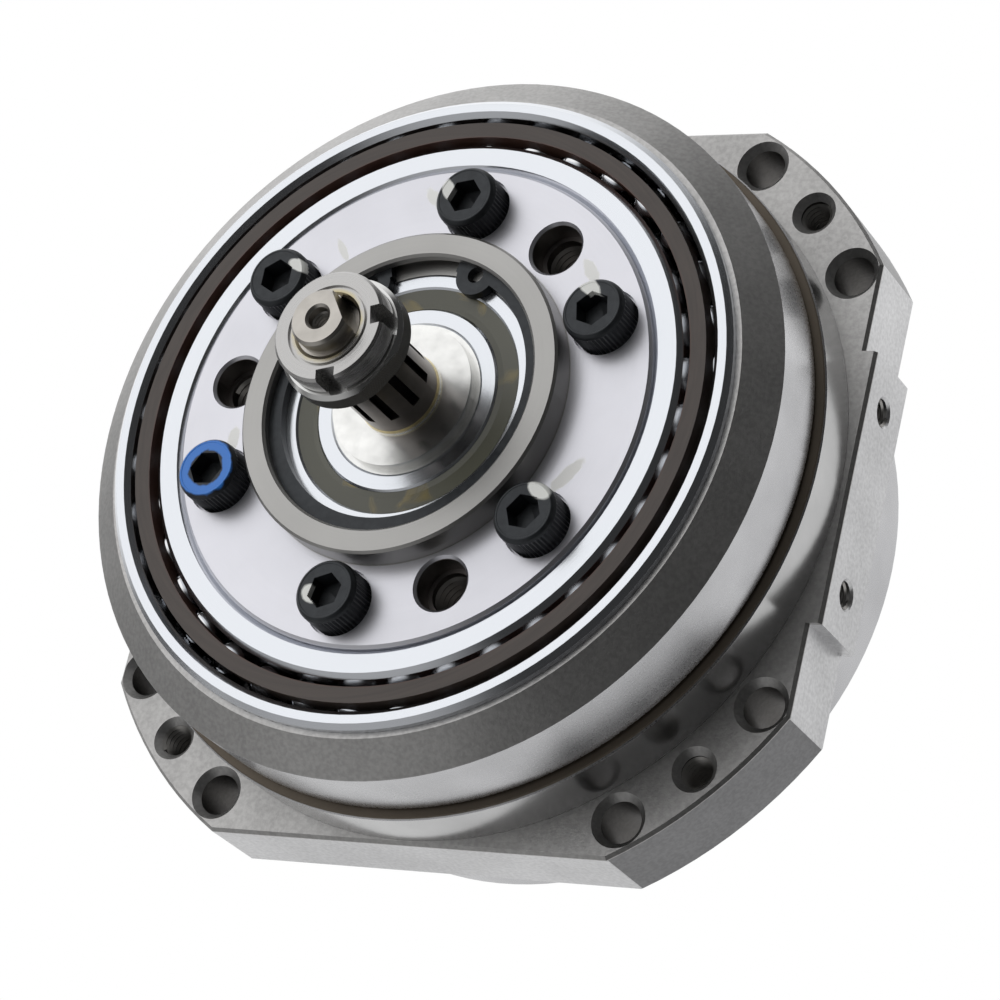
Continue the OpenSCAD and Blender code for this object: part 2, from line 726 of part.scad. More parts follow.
// Sprung ring for a bore: wider opposite its gap, with a holed lug on each side of the gap
module snap_ring(bore_r, z, t, turn) {
    lug_r = 3.3;
    lug_turn = 25;
    lug_place = bore_r - 1.2;
    hole_r = 1.3;
    band = 2;
    offcentre = 0.5;
    outer_r = bore_r + snap_groove_depth - snap_play;
    rotate([0, 0, turn]) translate([0, 0, z]) linear_extrude(t) difference() {
        intersection() {
            circle(r = outer_r);
            union() {
                difference() {
                    circle(r = outer_r);
                    translate([offcentre, 0]) circle(r = bore_r - band);
                }
                for (side = [-1, 1])
                    rotate(side * lug_turn) translate([lug_place, 0]) circle(r = lug_r);
            }
        }
        for (side = [-1, 1]) rotate(side * lug_turn) translate([lug_place, 0]) circle(r = hole_r);
        polygon([[0, 0], [outer_r * 1.1, -outer_r * 0.3], [outer_r * 1.1, outer_r * 0.3]]);
    }
}

module front_retaining_ring() {
    color(black_oxide)
        snap_ring(hub_inner_r, shaft_front_top + snap_play / 2, front_snap_t, snap_gap_turn);
}

module rear_retaining_ring() {
    color(black_oxide)
        snap_ring(shaft_seat_r, shaft_rear_z - rear_snap_t - snap_play, rear_snap_t, snap_gap_turn);
}

// Pressed cap that closes the rear bore
module rear_cap() {
    cap_h = 2.4;
    floor_t = 0.8;
    wall = 0.9;
    color(steel) translate([0, 0, seal_z + 0.3]) difference() {
        cylinder(h = cap_h, r = shaft_seat_r);
        translate([0, 0, floor_t]) cylinder(h = cap_h, r = shaft_seat_r - wall);
    }
}

// ---- Input shaft ----

thread_r = nut_thread_d / 2;
stub_r = thread_r - 0.4;
stub_flat = 3.4;
stub_flat_turn = 33.6;
spline_slot_depth = 1.2;
spline_turn = 7;
end_hole_r = 1.7;
end_hole_depth = 12;
end_hole_chamfer = 0.4;
rear_bore_r = 4;
root_ring_h = 0.5;

module input_shaft() {
    bore_r = shaft_bore / 2 - seat_fit;
    color(steel) difference() {
        union() {
            translate([0, 0, shaft_rear_z])
                cylinder(h = shaft_front_top - shaft_rear_z - 0.1, r = bore_r);
            translate([0, 0, shaft_rear_top])
                cylinder(h = shaft_front_z - shaft_rear_top, r = shaft_neck_r);
            translate([eccentricity, 0, disc_rear_z]) cylinder(h = disc_t, r = cam_r);
            translate([-eccentricity, 0, disc_front_z]) cylinder(h = disc_t, r = cam_r);
            translate([0, 0, shaft_front_top - eps])
                cylinder(h = root_disc_top - shaft_front_top + eps, r = root_disc_d / 2);
            translate([0, 0, root_disc_top - eps]) cylinder(h = root_ring_h + eps, r = spline_r + 0.2);
            translate([0, 0, root_disc_top]) cylinder(h = collar_z - root_disc_top, r = spline_r);
            translate([0, 0, collar_z - eps]) cylinder(h = nut_top - collar_z + eps, r = thread_r);
            translate([0, 0, nut_top - eps]) cylinder(h = shaft_tip - nut_top, r = stub_r);
            translate([0, 0, shaft_tip - eps]) cylinder(h = eps, r1 = stub_r, r2 = stub_r - 0.4);
        }
        on_circle(spline_slots, spline_r - spline_slot_depth, spline_turn)
            translate([0, -spline_slot_w / 2, spline_base_z])
                cube([2 * spline_slot_depth, spline_slot_w, collar_z - spline_base_z + eps]);
        rotate([0, 0, stub_flat_turn]) translate([stub_flat, -thread_r, nut_z + 1])
            cube([thread_r, 2 * thread_r, shaft_tip]);
        chamfered_hole(end_hole_r, shaft_tip, end_hole_depth, end_hole_chamfer);
        translate([0, 0, shaft_rear_z - eps])
            cylinder(h = end_hole_depth + eps, r = rear_bore_r, $fn = 32);
    }
}

// A plain disc on height z with both its edges chamfered
module edged_disc(r, z, h, edge) {
    translate([0, 0, z]) rotate_extrude()
        polygon([[0, 0], [r - edge, 0], [r, edge], [r, h - edge], [r - edge, h], [0, h]]);
}

module shaft_collar() {
    r = collar_d / 2;
    flats_turn = -35.5;
    edge = 0.6;
    color(black_oxide) difference() {
        intersection() {
            edged_disc(r, collar_z, collar_h, edge);
            rotate([0, 0, flats_turn]) translate([-collar_flats / 2, -r, collar_z])
                cube([collar_flats, 2 * r, collar_h]);
        }
        translate([0, 0, collar_z - eps]) cylinder(h = collar_h + 2 * eps, r = thread_r + seat_fit);
    }
}

module lock_nut() {
    r = nut_d / 2;
    slot_w = 3;
    slot_depth = 2;
    slot_turns = [14, -78];
    edge = 0.4;
    crown_r = 6.6;
    crown_w = 0.5;
    crown_depth = 0.4;
    color(bright_steel) difference() {
        edged_disc(r, nut_z, nut_t, edge);
        ring(crown_r, crown_r - crown_w, nut_top - crown_depth, crown_depth + eps);
        translate([0, 0, nut_z - eps]) cylinder(h = nut_t + 2 * eps, r = thread_r + seat_fit);
        translate([0, 0, nut_top - 0.5])
            cylinder(h = 0.5 + eps, r1 = thread_r, r2 = thread_r + 0.5 + eps);
        for (turn = slot_turns) rotate([0, 0, turn])
            translate([r - slot_depth, -slot_w / 2, nut_z - eps])
                cube([2 * slot_depth, slot_w, nut_t + 2 * eps]);
    }
}

case();
ring_pins();
main_outer_ring_front();
main_outer_ring_rear();
main_inner_ring_front();
main_inner_ring_rear();
main_balls_front();
main_balls_rear();
main_cage_front();
main_cage_rear();
output_oil_seal();
seal_garter_spring();
front_carrier();
rear_carrier();
carrier_sleeves();
carrier_bolt_set();
output_roller_1();
output_roller_2();
output_roller_3();
output_roller_4();
output_roller_5();
output_roller_6();
cycloid_disc_rear();
cycloid_disc_front();
needles_rear();
needles_front();
needle_cage_rear();
needle_cage_front();
guide_washers();
shaft_outer_ring_front();
shaft_outer_ring_rear();
shaft_inner_ring_front();
shaft_inner_ring_rear();
shaft_balls_front();
shaft_balls_rear();
shaft_cage_front();
shaft_cage_rear();
shaft_seal();
front_retaining_ring();
rear_retaining_ring();
rear_cap();
input_shaft();
shaft_collar();
lock_nut();
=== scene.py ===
"""Looks of the cycloidal reducer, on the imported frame. Lengths are in metres."""
import math
import bmesh
import bpy
from mathutils import Matrix, Vector


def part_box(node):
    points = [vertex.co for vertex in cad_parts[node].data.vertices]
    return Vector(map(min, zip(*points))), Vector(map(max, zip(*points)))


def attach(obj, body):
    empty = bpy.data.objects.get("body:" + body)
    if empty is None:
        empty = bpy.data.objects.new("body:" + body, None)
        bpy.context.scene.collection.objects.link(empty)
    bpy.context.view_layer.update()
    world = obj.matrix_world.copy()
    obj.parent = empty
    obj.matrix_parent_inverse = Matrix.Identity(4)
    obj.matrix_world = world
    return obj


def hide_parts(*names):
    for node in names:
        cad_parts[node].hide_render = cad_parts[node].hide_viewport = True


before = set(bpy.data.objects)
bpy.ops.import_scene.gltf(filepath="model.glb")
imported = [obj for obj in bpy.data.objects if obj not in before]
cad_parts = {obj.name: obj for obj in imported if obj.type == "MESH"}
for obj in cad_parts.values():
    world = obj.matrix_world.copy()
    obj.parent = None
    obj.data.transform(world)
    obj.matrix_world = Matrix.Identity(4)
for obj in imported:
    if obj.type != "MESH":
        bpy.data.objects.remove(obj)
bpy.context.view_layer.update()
MM = 0.001

# ---- Case ----
# The case is one forging of carbon steel, turned inside and out on a lathe, its flange milled
# and its front register ground. Each surface keeps the marks of the tool that made it.


def linear(hex_text):
    """An sRGB hex colour as the linear colour that a shader takes."""
    shares = [int(hex_text[i:i + 2], 16) / 255 for i in (0, 2, 4)]
    return [c / 12.92 if c <= 0.04045 else ((c + 0.055) / 1.055) ** 2.4 for c in shares] + [1.0]


def add(tree, kind, inputs=None, **settings):
    """Adds a shader node, sets its options, and fills or links its sockets."""
    node = tree.nodes.new("ShaderNode" + kind)
    for name, value in settings.items():
        setattr(node, name, value)
    for socket, value in (inputs or {}).items():
        if isinstance(value, bpy.types.NodeSocket):
            tree.links.new(value, node.inputs[socket])
        else:
            node.inputs[socket].default_value = value
    return node


def calc(tree, operation, *values):
    """The result of a Math node."""
    return add(tree, "Math", dict(enumerate(values)), operation=operation).outputs[0]


def vector(tree, operation, *values):
    """The result of a Vector Math node, which is a number for a length or a dot product."""
    node = add(tree, "VectorMath", dict(enumerate(values)), operation=operation)
    return node.outputs["Value" if operation in ("LENGTH", "DOT_PRODUCT") else "Vector"]


def scaled(tree, value, scale):
    """A vector or a colour times a number."""
    return add(tree, "VectorMath", {0: value, "Scale": scale}, operation="SCALE").outputs[0]


def ramp(tree, value, low, high, start=0.0, end=1.0, curve="LINEAR"):
    """A value that goes from low to high while the one given goes from start to end."""
    return add(tree, "MapRange", {"Value": value, "From Min": start, "From Max": end,
                                  "To Min": low, "To Max": high}, interpolation_type=curve).outputs[0]


def noise(tree, place, scale, detail, distortion=0.0):
    """A cloudy pattern from 0 to 1."""
    return add(tree, "TexNoise", {"Vector": place, "Scale": scale, "Detail": detail,
                                  "Distortion": distortion}).outputs[0]


def new_finish(name, metallic, roughness, colour):
    """A material with a plain shader, for its section to add grain and wear to."""
    finish = bpy.data.materials.new(name)
    finish.use_nodes = True
    tree = finish.node_tree
    shader = tree.nodes["Principled BSDF"]
    shader.inputs["Metallic"].default_value = metallic
    shader.inputs["Roughness"].default_value = roughness
    shader.inputs["Base Color"].default_value = linear(colour)
    finish.diffuse_color = linear(colour)
    return finish, tree, shader


def feed(tree, shader, socket, value):
    """Links a value to a socket of the shader."""
    tree.links.new(value, shader.inputs[socket])


def emboss(tree, shader, height, strength, distance):
    """Shades a surface as if it rose with height, by up to the distance."""
    bump = add(tree, "Bump", {"Height": height, "Strength": strength, "Distance": distance})
    feed(tree, shader, "Normal", bump.outputs[0])


def lathe_places(tree):
    """The point's place, its height, and its distance from the reducer's axis."""
    place = add(tree, "TexCoord").outputs["Object"]
    height = add(tree, "SeparateXYZ", {0: place}).outputs["Z"]
    return place, height, vector(tree, "LENGTH", vector(tree, "MULTIPLY", place, (1, 1, 0)))


def lathe_lines(tree, spacing, streak=0.02):
    """Fine lines that run round the axis, as a lathe or a grinding wheel leaves them."""
    place, height, radius = lathe_places(tree)
    across = add(tree, "CombineXYZ", {"X": radius, "Y": height}).outputs[0]
    fine = scaled(tree, across, 1 / spacing)
    along = scaled(tree, place, 1 / streak)
    return noise(tree, vector(tree, "ADD", fine, along), 1.0, 3.0)


def zone(tree, value, low, high, soft):
    """A mask that is 1 where value lies from low to high, with soft edges."""
    rise = ramp(tree, value, 0.0, 1.0, low - soft, low + soft)
    fall = ramp(tree, value, 0.0, 1.0, high + soft, high - soft)
    return calc(tree, "MULTIPLY", rise, fall)


def blend_by(tree, mask, first, second, kind="FLOAT"):
    """The first value where mask is 0 and the second where it is 1."""
    node = add(tree, "Mix", data_type=kind)
    sockets = [s for s in node.inputs if s.enabled]
    result = [s for s in node.outputs if s.enabled][0]
    for socket, value in zip(sockets, (mask, first, second)):
        if isinstance(value, bpy.types.NodeSocket):
            tree.links.new(value, socket)
        else:
            socket.default_value = value
    return result


def tint_by(tree, mask, first, second):
    """The first colour where mask is 0 and the second where it is 1. A text is an sRGB hex colour."""
    first, second = (linear(c) if isinstance(c, str) else c for c in (first, second))
    return blend_by(tree, mask, first, second, "RGBA")


def dress(nodes, finish):
    """Gives CAD nodes a finish through their material slots."""
    for name in nodes:
        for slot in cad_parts[name].material_slots:
            slot.material = finish


def hole_ring(tree, circle, hole_r, first, step, mouth):
    """A mask of the holes on a circle, a step in degrees apart from the first, below their mouth."""
    WALL = 0.00006
    place, height, radius = lathe_places(tree)
    parts = add(tree, "SeparateXYZ", {0: place})
    turn = calc(tree, "ARCTAN2", parts.outputs["Y"], parts.outputs["X"])
    turn = calc(tree, "SUBTRACT", turn, math.radians(first))
    turn = calc(tree, "WRAP", turn, math.radians(step / 2), math.radians(-step / 2))
    side = calc(tree, "MULTIPLY", calc(tree, "SINE", turn), radius)
    out = calc(tree, "MULTIPLY", calc(tree, "COSINE", turn), radius)
    out = calc(tree, "SUBTRACT", out, circle)
    away = vector(tree, "LENGTH", add(tree, "CombineXYZ", {"X": side, "Y": out}).outputs[0])
    inside = calc(tree, "LESS_THAN", away, hole_r + WALL)
    return calc(tree, "MULTIPLY", inside, calc(tree, "LESS_THAN", height, mouth))


FLANGE_LOW, FLANGE_TOP = 0.0200, 0.0330
RELIEF_LOW, RELIEF_HIGH = 0.0420, 0.0424
CONE_LOW, CONE_TOP = 0.0542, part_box("case")[1].z
FLAT_X, FLAT_Y, RIM_R = 0.0592, 0.0606, 0.0694
FLANGE_RING, BORE_R, TAP_R = 0.065, 0.0033, 0.00255
BORE_TURNS, FLANGE_TAP_TURN, LOBE_STEP = (33, 57), 45, 90
EDGE_BREAK, MOUTH_DEPTH = 0.0007, 0.0011

# Machined carbon steel: sandy where it is blasted, streaked where it is milled, glossy where ground.
case_steel, tree, shader = new_finish("machined_case_steel", 1.0, 0.4, "A9A6A1")
place, height, radius = lathe_places(tree)
sides = add(tree, "SeparateXYZ", {0: vector(tree, "ABSOLUTE", place)})
cone = zone(tree, height, CONE_LOW, CONE_TOP + MM, 0.0001)
groove = zone(tree, height, RELIEF_LOW - 0.0002, RELIEF_HIGH + 0.0003, 0.00005)
mirror = zone(tree, height, FLANGE_TOP + 0.0003, RELIEF_LOW - 0.0005, 0.0001)
flange = zone(tree, height, FLANGE_LOW - 0.0002, FLANGE_TOP + 0.0001, 0.00005)
below = calc(tree, "LESS_THAN", height, FLANGE_TOP - EDGE_BREAK)
milled = calc(tree, "MAXIMUM", calc(tree, "GREATER_THAN", sides.outputs["X"], FLAT_X),
              calc(tree, "GREATER_THAN", sides.outputs["Y"], FLAT_Y))
milled = calc(tree, "MULTIPLY", milled, below)
rim = calc(tree, "MULTIPLY", calc(tree, "GREATER_THAN", radius, RIM_R), below)

lines = lathe_lines(tree, 0.00016)
grit = noise(tree, place, 2600.0, 4.0)
cloud = noise(tree, place, 90.0, 3.0)
cuts = noise(tree, vector(tree, "MULTIPLY", place, (1, 1, 5)), 420.0, 5.0, 1.5)

rough = blend_by(tree, cone, 0.28, 0.4)
for mask, value in ((flange, 0.42), (milled, 0.36), (mirror, 0.22), (groove, 0.6)):
    rough = blend_by(tree, mask, rough, value)
feed(tree, shader, "Roughness", calc(tree, "ADD", rough, ramp(tree, grit, -0.05, 0.05)))

tint = tint_by(tree, cone, "C2C2C4", "A9A8A7")
# Of these tints, the relief groove's dark brown-grey is painted shade in the groove.
for mask, colour in ((flange, "A4A3A2"), (rim, "7C7C7D"), (milled, "C9C9CA"), (mirror, "BDBDBD"),
                     (groove, "6E665C")):
    tint = tint_by(tree, mask, tint, colour)
# Painted shade: the bores and tapped holes are tinted darker below their mouths, as shade inside the holes.
for first, hole_r, colour in ((BORE_TURNS[0], BORE_R, "5C5A58"), (BORE_TURNS[1], BORE_R, "5C5A58"),
                              (FLANGE_TAP_TURN, TAP_R, "4A4846")):
    holes = hole_ring(tree, FLANGE_RING, hole_r, first, LOBE_STEP, FLANGE_TOP - MOUTH_DEPTH)
    tint = tint_by(tree, holes, tint, colour)
speck = ramp(tree, noise(tree, place, 1500.0, 2.0), -0.09, 0.09, 0.35, 0.65)
speck = blend_by(tree, calc(tree, "MAXIMUM", cone, flange), 0.0, speck)
shade = calc(tree, "ADD", ramp(tree, cloud, 0.9, 1.06, 0.3, 0.7), speck)
feed(tree, shader, "Base Color", scaled(tree, tint, shade))

sandy = calc(tree, "ADD", cone, flange)
relief = blend_by(tree, milled, blend_by(tree, sandy, lines, grit), cuts)
depth = blend_by(tree, sandy, 0.12, 0.8)
for mask, value in ((milled, 1.0), (mirror, 0.05)):
    depth = blend_by(tree, mask, depth, value)
emboss(tree, shader, relief, depth, 0.00003)
dress(["case"], case_steel)

# ---- Ring pins ----
# Forty hardened needle rollers of bearing steel stand in the case's grooves and never leave them.
# They are ground and tumbled, so they shine with faint lines round them.
ball_steel, tree, shader = new_finish("polished_ball_steel", 1.0, 0.08, "D9DADC")
feed(tree, shader, "Roughness", ramp(tree, lathe_lines(tree, 0.0002), 0.05, 0.13))
dress(["ring_pins", "needles_rear", "needles_front"], ball_steel)

# ---- Main bearings ----
# Two slim ball bearings carry the output on the case. The rings are hardened bearing steel, ground
# on every face, with a bluish white shine and broken edges.
ring_steel, tree, shader = new_finish("ground_bearing_steel", 1.0, 0.2, "D0D3D8")
lines = lathe_lines(tree, 0.00015)
feed(tree, shader, "Roughness", ramp(tree, lines, 0.14, 0.27))
emboss(tree, shader, lines, 0.5, 0.00001)
dress(["main_outer_ring_front", "main_inner_ring_front", "main_outer_ring_rear", "main_inner_ring_rear",
       "shaft_outer_ring_front", "shaft_outer_ring_rear", "shaft_inner_ring_front",
       "shaft_inner_ring_rear"], ring_steel)

# The balls are of the same steel, lapped to a mirror.
dress(["main_balls_front", "main_balls_rear", "shaft_balls_front", "shaft_balls_rear"], ball_steel)

# The cages are turned from brown phenolic resin with a cotton cloth core, so their faces are dull and
# finely streaked, and redder along their edges where the resin lies bare.
CLOTH_IN, CLOTH_OUT = 0.0459, 0.0486
cage_resin, tree, shader = new_finish("brown_phenolic_resin", 0.0, 0.42, "4E443E")
place, _, radius = lathe_places(tree)
cloth = zone(tree, radius, CLOTH_IN, CLOTH_OUT, 0.0002)
shade = ramp(tree, lathe_lines(tree, 0.0006, 0.006), 0.8, 1.15, 0.3, 0.7)
feed(tree, shader, "Base Color", scaled(tree, tint_by(tree, cloth, "4E3026", "3E3530"), shade))
emboss(tree, shader, noise(tree, place, 400.0, 4.0), 0.4, 0.00005)
dress(["main_cage_front", "main_cage_rear"], cage_resin)

# ---- Output seal ----
# A lip seal of olive nitrile rubber on a steel shell, pressed into the rear of the case. A garter
# spring of steel wire holds its lip on the output face's rim.
seal_rubber, tree, shader = new_finish("olive_nitrile_rubber", 0.0, 0.42, "5B5A4B")
place = add(tree, "TexCoord").outputs["Object"]
smear = noise(tree, place, 190.0, 2.0, 0.8)
greasy = ramp(tree, smear, 0.0, 1.0, 0.58, 0.72)
feed(tree, shader, "Base Color", tint_by(tree, greasy, "505045", "75693F"))
feed(tree, shader, "Roughness", blend_by(tree, greasy, 0.34, 0.16))
emboss(tree, shader, smear, 0.25, 0.0001)
dress(["output_oil_seal", "shaft_seal"], seal_rubber)

spring_wire, tree, shader = new_finish("spring_wire", 1.0, 0.3, "9A9A9C")
place = add(tree, "TexCoord").outputs["Object"]
coils = add(tree, "TexWave", {"Vector": place, "Scale": 600.0, "Distortion": 0.5}).outputs[0]
emboss(tree, shader, coils, 0.8, 0.0001)
dress(["seal_garter_spring"], spring_wire)

# ---- Carrier ----
# The carrier is two discs of alloy steel bolted together over six sleeves. The front one is turned
# in one piece with its hub, and its face keeps a satin finish of very fine rings.
FACE_Z, HUB_R = 0.0602, 0.0268
TAP_RING, TAP_MOUTH_R, TAP_MOUTH_Z = 0.032, 0.0041, 0.0600
TAP_TURN, TAP_STEP = 54, 120
carrier_steel, tree, shader = new_finish("satin_turned_steel", 1.0, 0.34, "CDCDCE")
place, _, radius = lathe_places(tree)
lines = lathe_lines(tree, 0.00018)
feed(tree, shader, "Roughness", ramp(tree, lines, 0.3, 0.44))
emboss(tree, shader, lines, 0.3, 0.000012)
shade = ramp(tree, noise(tree, place, 60.0, 4.0), 0.94, 1.03, 0.3, 0.7)
tint = tint_by(tree, zone(tree, radius, 0.0, HUB_R, 0.0001), "CDCDD3", "A09F9D")
# Painted shade: the tapped holes are tinted darker below their mouths, as shade inside the holes.
holes = hole_ring(tree, TAP_RING, TAP_MOUTH_R, TAP_TURN, TAP_STEP, TAP_MOUTH_Z)
tint = tint_by(tree, holes, tint, "6B6765")
tint = scaled(tree, tint, shade)


def paint(tree, spots, smudge, low, ragged=0.5):
    """A mask of ragged paint marks above low: each spot is its middle, turn, half length and width."""
    mask = 0.0
    place, height, _ = lathe_places(tree)
    for spot, turn, long, wide in spots:
        at = add(tree, "Mapping", {"Vector": place, "Location": (*spot, 0.0),
                                   "Rotation": (0, 0, math.radians(turn)),
                                   "Scale": (long, wide, 1)}, vector_type="TEXTURE").outputs[0]
        far = vector(tree, "LENGTH", vector(tree, "MULTIPLY", at, (1, 1, 0)))
        far = calc(tree, "MULTIPLY_ADD", smudge, ragged, far)
        one = ramp(tree, far, 0.0, 1.0, 1.12 + ragged / 2, 0.88 + ragged / 2)
        mask = calc(tree, "MAXIMUM", mask, one)
    return calc(tree, "MULTIPLY", mask, calc(tree, "GREATER_THAN", height, low))


# Inspection drew white paint across the tightened screws, and some of it lies thin on the face.
smear = paint(tree, [((0.0297, -0.0116), 50, 0.0034, 0.0011), ((0.0258, 0.0218), 125, 0.0024, 0.0010),
                     ((-0.0042, 0.0347), -40, 0.0030, 0.0010), ((-0.0190, 0.0262), -55, 0.0022, 0.0006),
                     ((-0.0300, -0.0066), 88, 0.0022, 0.0010)], noise(tree, place, 700.0, 4.0), FACE_Z, 0.9)
smear = calc(tree, "MULTIPLY", smear, 0.8)
feed(tree, shader, "Base Color", tint_by(tree, smear, tint, "E4E4E0"))
feed(tree, shader, "Metallic", blend_by(tree, smear, 1.0, 0.0))
dress(["front_carrier", "rear_carrier", "carrier_sleeves", "guide_washers", "rear_cap"], carrier_steel)
dress(["output_roller_%d" % number for number in range(1, 7)], ring_steel)

# ---- Cycloid discs ----
# Two discs of case hardened steel whose lobes roll round the ring pins. Their faces are ground and
# stay a little darker than the bearing rings.
disc_steel, tree, shader = new_finish("ground_disc_steel", 1.0, 0.25, "A7A6A6")
feed(tree, shader, "Roughness", ramp(tree, lathe_lines(tree, 0.0003), 0.2, 0.4))
dress(["cycloid_disc_rear", "cycloid_disc_front"], disc_steel)

# ---- Cages of the needles and the shaft bearings ----
# Pressed and machined from brass, with a faintly tarnished skin. They keep the needles on the cams
# and the balls of the shaft's bearings apart.
cage_brass, tree, shader = new_finish("pressed_cage_brass", 1.0, 0.35, "C9B078")
place = add(tree, "TexCoord").outputs["Object"]
feed(tree, shader, "Roughness", ramp(tree, noise(tree, place, 500.0, 4.0), 0.25, 0.5))
dress(["needle_cage_rear", "needle_cage_front", "shaft_cage_front", "shaft_cage_rear"], cage_brass)

# ---- Carrier screws ----
# Six M6 socket head cap screws of class 12.9 steel join the two halves of the carrier. Each head is
# cold forged, with a knurled side, a rounded edge, a thin raised rim and a hexagon socket.
SCREW_RING, SCREW_TURN = 0.033, math.radians(24)
HEAD_R, HEAD_H = 0.0051, 0.0060
HEAD_CHAMFER = 0.0005
SHANK_R, SHANK_END, SHANK_TIP = 0.0030, 0.0004, 0.86
KNURL_H, KNURL_COUNT, KNURL_DIP = 0.0048, 48, 0.962
SOCKET_R, SOCKET_DEPTH = 0.0050 / math.sqrt(3), 0.0032
SOCKET_TURNS = (12, 40, 2, 31, 50, 22)
SOCKET_LEAD = ((0.00003, 1.0), (0.0003, 1.22))
DRILL_STEP, DRILL_DEPTH, DRILL_TIP = 0.0004, 0.0007, 0.1
# How far each ring of the head's rounded edge and rim stands above the last, and its size beside it.
HEAD_EDGE = ((0.00040, 0.990), (0.00035, 0.975), (0.00025, 0.960), (0.00014, 0.965),
             (0.00006, 0.985), (0.0, 0.955), (-0.00006, 0.985))
RIM_DIP = 0.00012


def select_only(piece):
    """Selects one piece and nothing else."""
    bpy.ops.object.select_all(action="DESELECT")
    piece.select_set(True)
    bpy.context.view_layer.objects.active = piece


def start_shaping():
    """Opens the newest piece for shaping, with nothing selected."""
    bpy.ops.object.mode_set(mode="EDIT")
    bpy.ops.mesh.select_mode(type="FACE")
    bpy.ops.mesh.select_all(action="DESELECT")


def pick(kind, test):
    """Selects the faces or vertices whose place or normal passes the test."""
    mesh = bmesh.from_edit_mesh(bpy.context.object.data)
    for item in mesh.verts[:] + mesh.edges[:] + mesh.faces[:]:
        item.select = False
    for item in (mesh.faces if kind == "FACE" else mesh.verts):
        item.select = test(item)
    bpy.ops.mesh.select_mode(type=kind)
    bmesh.update_edit_mesh(bpy.context.object.data)


def top_face(face):
    """A face that looks up."""
    return face.normal.z > 0.9


def bottom_face(face):
    """A face that looks down."""
    return face.normal.z < -0.9


def knurl_groove(point):
    """Every second corner of the knurled side."""
    turn = math.atan2(point.co.y, point.co.x) / (math.pi / KNURL_COUNT)
    on_side = seat - MM / 100 < point.co.z < seat + KNURL_H + MM / 100
    return on_side and point.co.to_2d().length > HEAD_R - MM / 100 and round(turn) % 2 == 0


def grow(rise, scale):
    """Extrudes the picked face along the axis and sizes its new edge."""
    bpy.ops.mesh.extrude_region_move(TRANSFORM_OT_translate={"value": (0, 0, rise)})
    bpy.ops.transform.resize(value=(scale, scale, 1), center_override=(0, 0, 0))


def settle(piece):
    """Puts a finished piece's place into its mesh, with its object at the origin."""
    select_only(piece)
    bpy.ops.object.transform_apply(location=True, rotation=True, scale=True)


def place_copies(first, stem, ways, finish, body):
    """Puts a copy of a piece at each place, with its own mesh, and lets it ride on a body."""
    copies = [first] + [first.copy() for way in ways[1:]]
    for piece in copies[1:]:
        piece.data = first.data.copy()
        bpy.context.collection.objects.link(piece)
    for number, (piece, way) in enumerate(zip(copies, ways), 1):
        piece.name = "%s_%d" % (stem, number)
        piece.data.transform(way)
        piece.data.materials.clear()
        piece.data.materials.append(finish)
        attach(piece, body)
    return copies


screw_low, screw_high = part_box("carrier_bolt_set")
seat = screw_high.z - HEAD_H
bpy.ops.object.select_all(action="DESELECT")
bpy.ops.mesh.primitive_cylinder_add(vertices=2 * KNURL_COUNT, radius=HEAD_R, depth=KNURL_H,
                                    location=(0, 0, seat + KNURL_H / 2))
screw = bpy.context.object
settle(screw)
start_shaping()
pick("FACE", top_face)
for rise, scale in HEAD_EDGE:
    grow(rise, scale)
pick("FACE", bottom_face)
bpy.ops.mesh.inset(thickness=HEAD_CHAMFER, depth=0)
bpy.ops.mesh.inset(thickness=HEAD_R - HEAD_CHAMFER - SHANK_R, depth=0)
grow(screw_low.z + SHANK_END - seat, 1)
grow(-SHANK_END, SHANK_TIP)
pick("VERT", knurl_groove)
bpy.ops.transform.resize(value=(KNURL_DIP, KNURL_DIP, 1), center_override=(0, 0, 0))
bpy.ops.object.mode_set(mode="OBJECT")

# A forging punch leaves the socket: six flats, a small lead-in and a drill point at the bottom.
bpy.ops.object.select_all(action="DESELECT")
bpy.ops.mesh.primitive_cylinder_add(vertices=6, radius=SOCKET_R, depth=SOCKET_DEPTH,
                                    location=(0, 0, screw_high.z - SOCKET_DEPTH / 2 - RIM_DIP))
punch = bpy.context.object
settle(punch)
start_shaping()
pick("FACE", top_face)
for rise, scale in SOCKET_LEAD:
    grow(rise, scale)
pick("FACE", bottom_face)
bpy.ops.mesh.inset(thickness=DRILL_STEP, depth=0)
grow(-DRILL_DEPTH, DRILL_TIP)
bpy.ops.object.mode_set(mode="OBJECT")
select_only(screw)
cut = screw.modifiers.new("socket", "BOOLEAN")
cut.operation = "DIFFERENCE"
cut.solver = "EXACT"
cut.object = punch
bpy.ops.object.modifier_apply(modifier="socket")
bpy.data.objects.remove(punch)
select_only(screw)
bpy.ops.object.shade_smooth_by_angle(angle=math.radians(28))

# Class 12.9 steel, blackened and oiled. Inspection left white paint on five heads and a blue ring on
# the sixth.
BLUE_SCREW, BLUE_IN, BLUE_OUT, BLUE_DEPTH = 3, 0.0036, 0.0052, 0.0009
screw_turns = [SCREW_TURN + number * math.pi / 3 for number in range(6)]
screw_spots = [Vector((SCREW_RING * math.cos(a), SCREW_RING * math.sin(a), 0)) for a in screw_turns]
black_oxide, tree, shader = new_finish("black_oxide_steel", 0.6, 0.34, "26282B")
place, height, _ = lathe_places(tree)
cloud = noise(tree, place, 900.0, 4.0)
smudge = noise(tree, place, 500.0, 3.0)
white = paint(tree, [((0.0285, -0.0160), -30, 0.0021, 0.0012), ((0.0287, 0.0172), -38, 0.0028, 0.0012),
                     ((-0.0231, 0.0212), -20, 0.0020, 0.0010), ((-0.0057, -0.0334), -40, 0.0018, 0.0013),
                     ((0.0003, 0.0340), -70, 0.0018, 0.0010)], smudge, seat + KNURL_H)
blue = vector(tree, "SUBTRACT", place, screw_spots[BLUE_SCREW])
blue = vector(tree, "LENGTH", vector(tree, "MULTIPLY", blue, (1, 1, 0)))
